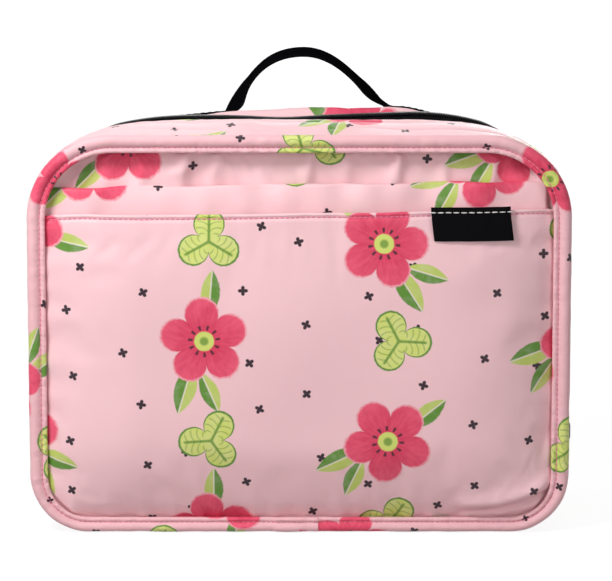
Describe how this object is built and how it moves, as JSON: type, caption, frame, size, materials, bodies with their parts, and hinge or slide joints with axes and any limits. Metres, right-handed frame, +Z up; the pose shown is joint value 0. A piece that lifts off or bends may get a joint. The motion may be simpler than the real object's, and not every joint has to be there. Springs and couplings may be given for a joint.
{
  "type": "insulated zip case",
  "caption": "Soft insulated case that zips open around three sides, with a two-tier slip pocket on the front and a webbing carry handle on top.",
  "frame": {"origin": "under the middle of the base, on the surface the case stands on, in the plane of the zip", "axes": "+Z up, the front with the pockets faces -Y, +X to the right seen from the front"},
  "size_m": [0.2569, 0.0906, 0.2209],
  "materials": {
    "print_cloth": "satin-like printed cloth",
    "webbing": "matte woven",
    "zip_tape": "matte woven",
    "zip_chain": "semi-matte",
    "slider_metal": "dark plated",
    "lining_film": "silvery film",
    "foam": "closed-cell foam",
    "gel": "smooth film",
    "net": "fine net",
    "tab": "matte woven"
  },
  "bodies": {
    "back_half": {"back_panel": "print_cloth", "back_panel_foam": "foam", "back_gusset": "print_cloth", "back_base_gusset": "print_cloth", "back_gusset_foam": "foam", "back_lining": "lining_film", "back_binding": "print_cloth", "back_zip_tape": "zip_tape", "back_zip_chain": "zip_chain", "hinge_strip": "print_cloth", "cold_pack_sleeve": "net", "handle_left_foot": "webbing", "handle_right_foot": "webbing"},
    "front_half": {"front_panel": "print_cloth", "front_panel_foam": "foam", "front_gusset": "print_cloth", "front_base_gusset": "print_cloth", "front_gusset_foam": "foam", "front_lining": "lining_film", "front_binding": "print_cloth", "front_zip_tape": "zip_tape", "front_zip_chain": "zip_chain", "tall_pocket": "print_cloth", "short_pocket": "print_cloth"},
    "tab": {"woven_tab": "tab"},
    "handle": {"handle_loop": "webbing"},
    "slider": {"zip_slider": "slider_metal"},
    "pull": {"zip_pull": "slider_metal"},
    "pack": {"cold_pack": "gel"}
  },
  "joints": [
    {"name": "lid_hinge", "type": "hinge", "parent": "back_half", "child": "front_half", "pos_m": [0, 0, 0], "axis": [1, 0, 0], "range_deg": [0, 170]},
    {"name": "slider_run", "type": "slide", "parent": "back_half", "child": "slider", "axis": [0, 0, 1], "range_m": [0, 0.104], "deforming": ["back_zip_chain", "front_zip_chain"]},
    {"name": "pull_swing", "type": "hinge", "parent": "slider", "child": "pull", "pos_m": [0.1271, 0, 0.0395], "axis": [0, -1, 0], "range_deg": [0, 165]},
    {"name": "handle_sway", "type": "hinge", "parent": "back_half", "child": "handle", "pos_m": [0, 0.024, 0.1928], "axis": [1, 0, 0], "range_deg": [-40, 40], "stiffness_Nm_per_rad": 0.02, "deforming": ["handle_left_foot", "handle_right_foot"]},
    {"name": "tab_flap", "type": "hinge", "parent": "front_half", "child": "tab", "pos_m": [0.0795, -0.048, 0.157], "axis": [-1, 0, 0], "range_deg": [0, 100]},
    {"name": "cold_pack_slide", "type": "slide", "parent": "back_half", "child": "pack", "axis": [0, 0, 1], "range_m": [0, 0.035]}
  ]
}
